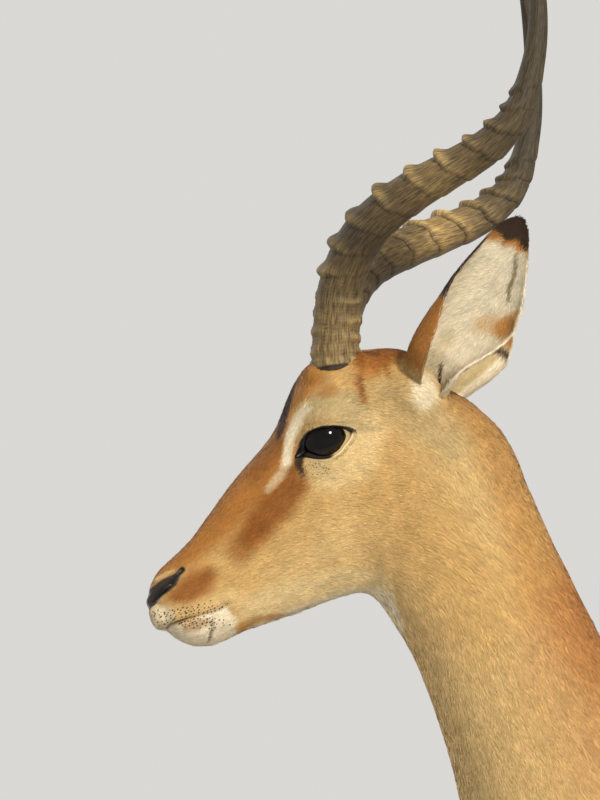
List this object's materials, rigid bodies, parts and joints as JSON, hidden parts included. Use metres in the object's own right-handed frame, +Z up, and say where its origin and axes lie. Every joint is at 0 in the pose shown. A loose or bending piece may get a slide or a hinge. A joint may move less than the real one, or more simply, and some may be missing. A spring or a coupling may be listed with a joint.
{
  "type": "impala antelope",
  "caption": "Life-size standing impala ram with ridged lyre horns, cupped ears, slender legs and cloven hooves, as a still display model.",
  "frame": {"origin": "on the floor, under the middle of the animal's bounding box", "axes": "-X is where the animal faces, -Y is its left side, +Z is up"},
  "size_m": [1.2724, 0.353, 1.7299],
  "materials": {
    "coat": "short flat fawn fur, rufous on the back and nose, white on the belly, chin and ears",
    "horn": "grey-brown ridged horn with lengthwise fibres",
    "eye": "wet, dark brown to black",
    "hoof": "black horn, satin"
  },
  "bodies": {
    "root": {"head": "coat", "neck": "coat", "trunk": "coat", "tail": "coat", "foreleg_left": "coat", "foreleg_right": "coat", "hindleg_left": "coat", "hindleg_right": "coat", "ear_left": "coat", "ear_right": "coat", "eye_left": "eye", "eye_right": "eye", "horn_left": "horn", "horn_right": "horn", "hoof_fore_left_inner": "hoof", "hoof_fore_left_outer": "hoof", "hoof_fore_right_inner": "hoof", "hoof_fore_right_outer": "hoof", "hoof_hind_left_inner": "hoof", "hoof_hind_left_outer": "hoof", "hoof_hind_right_inner": "hoof", "hoof_hind_right_outer": "hoof"}
  },
  "joints": []
}
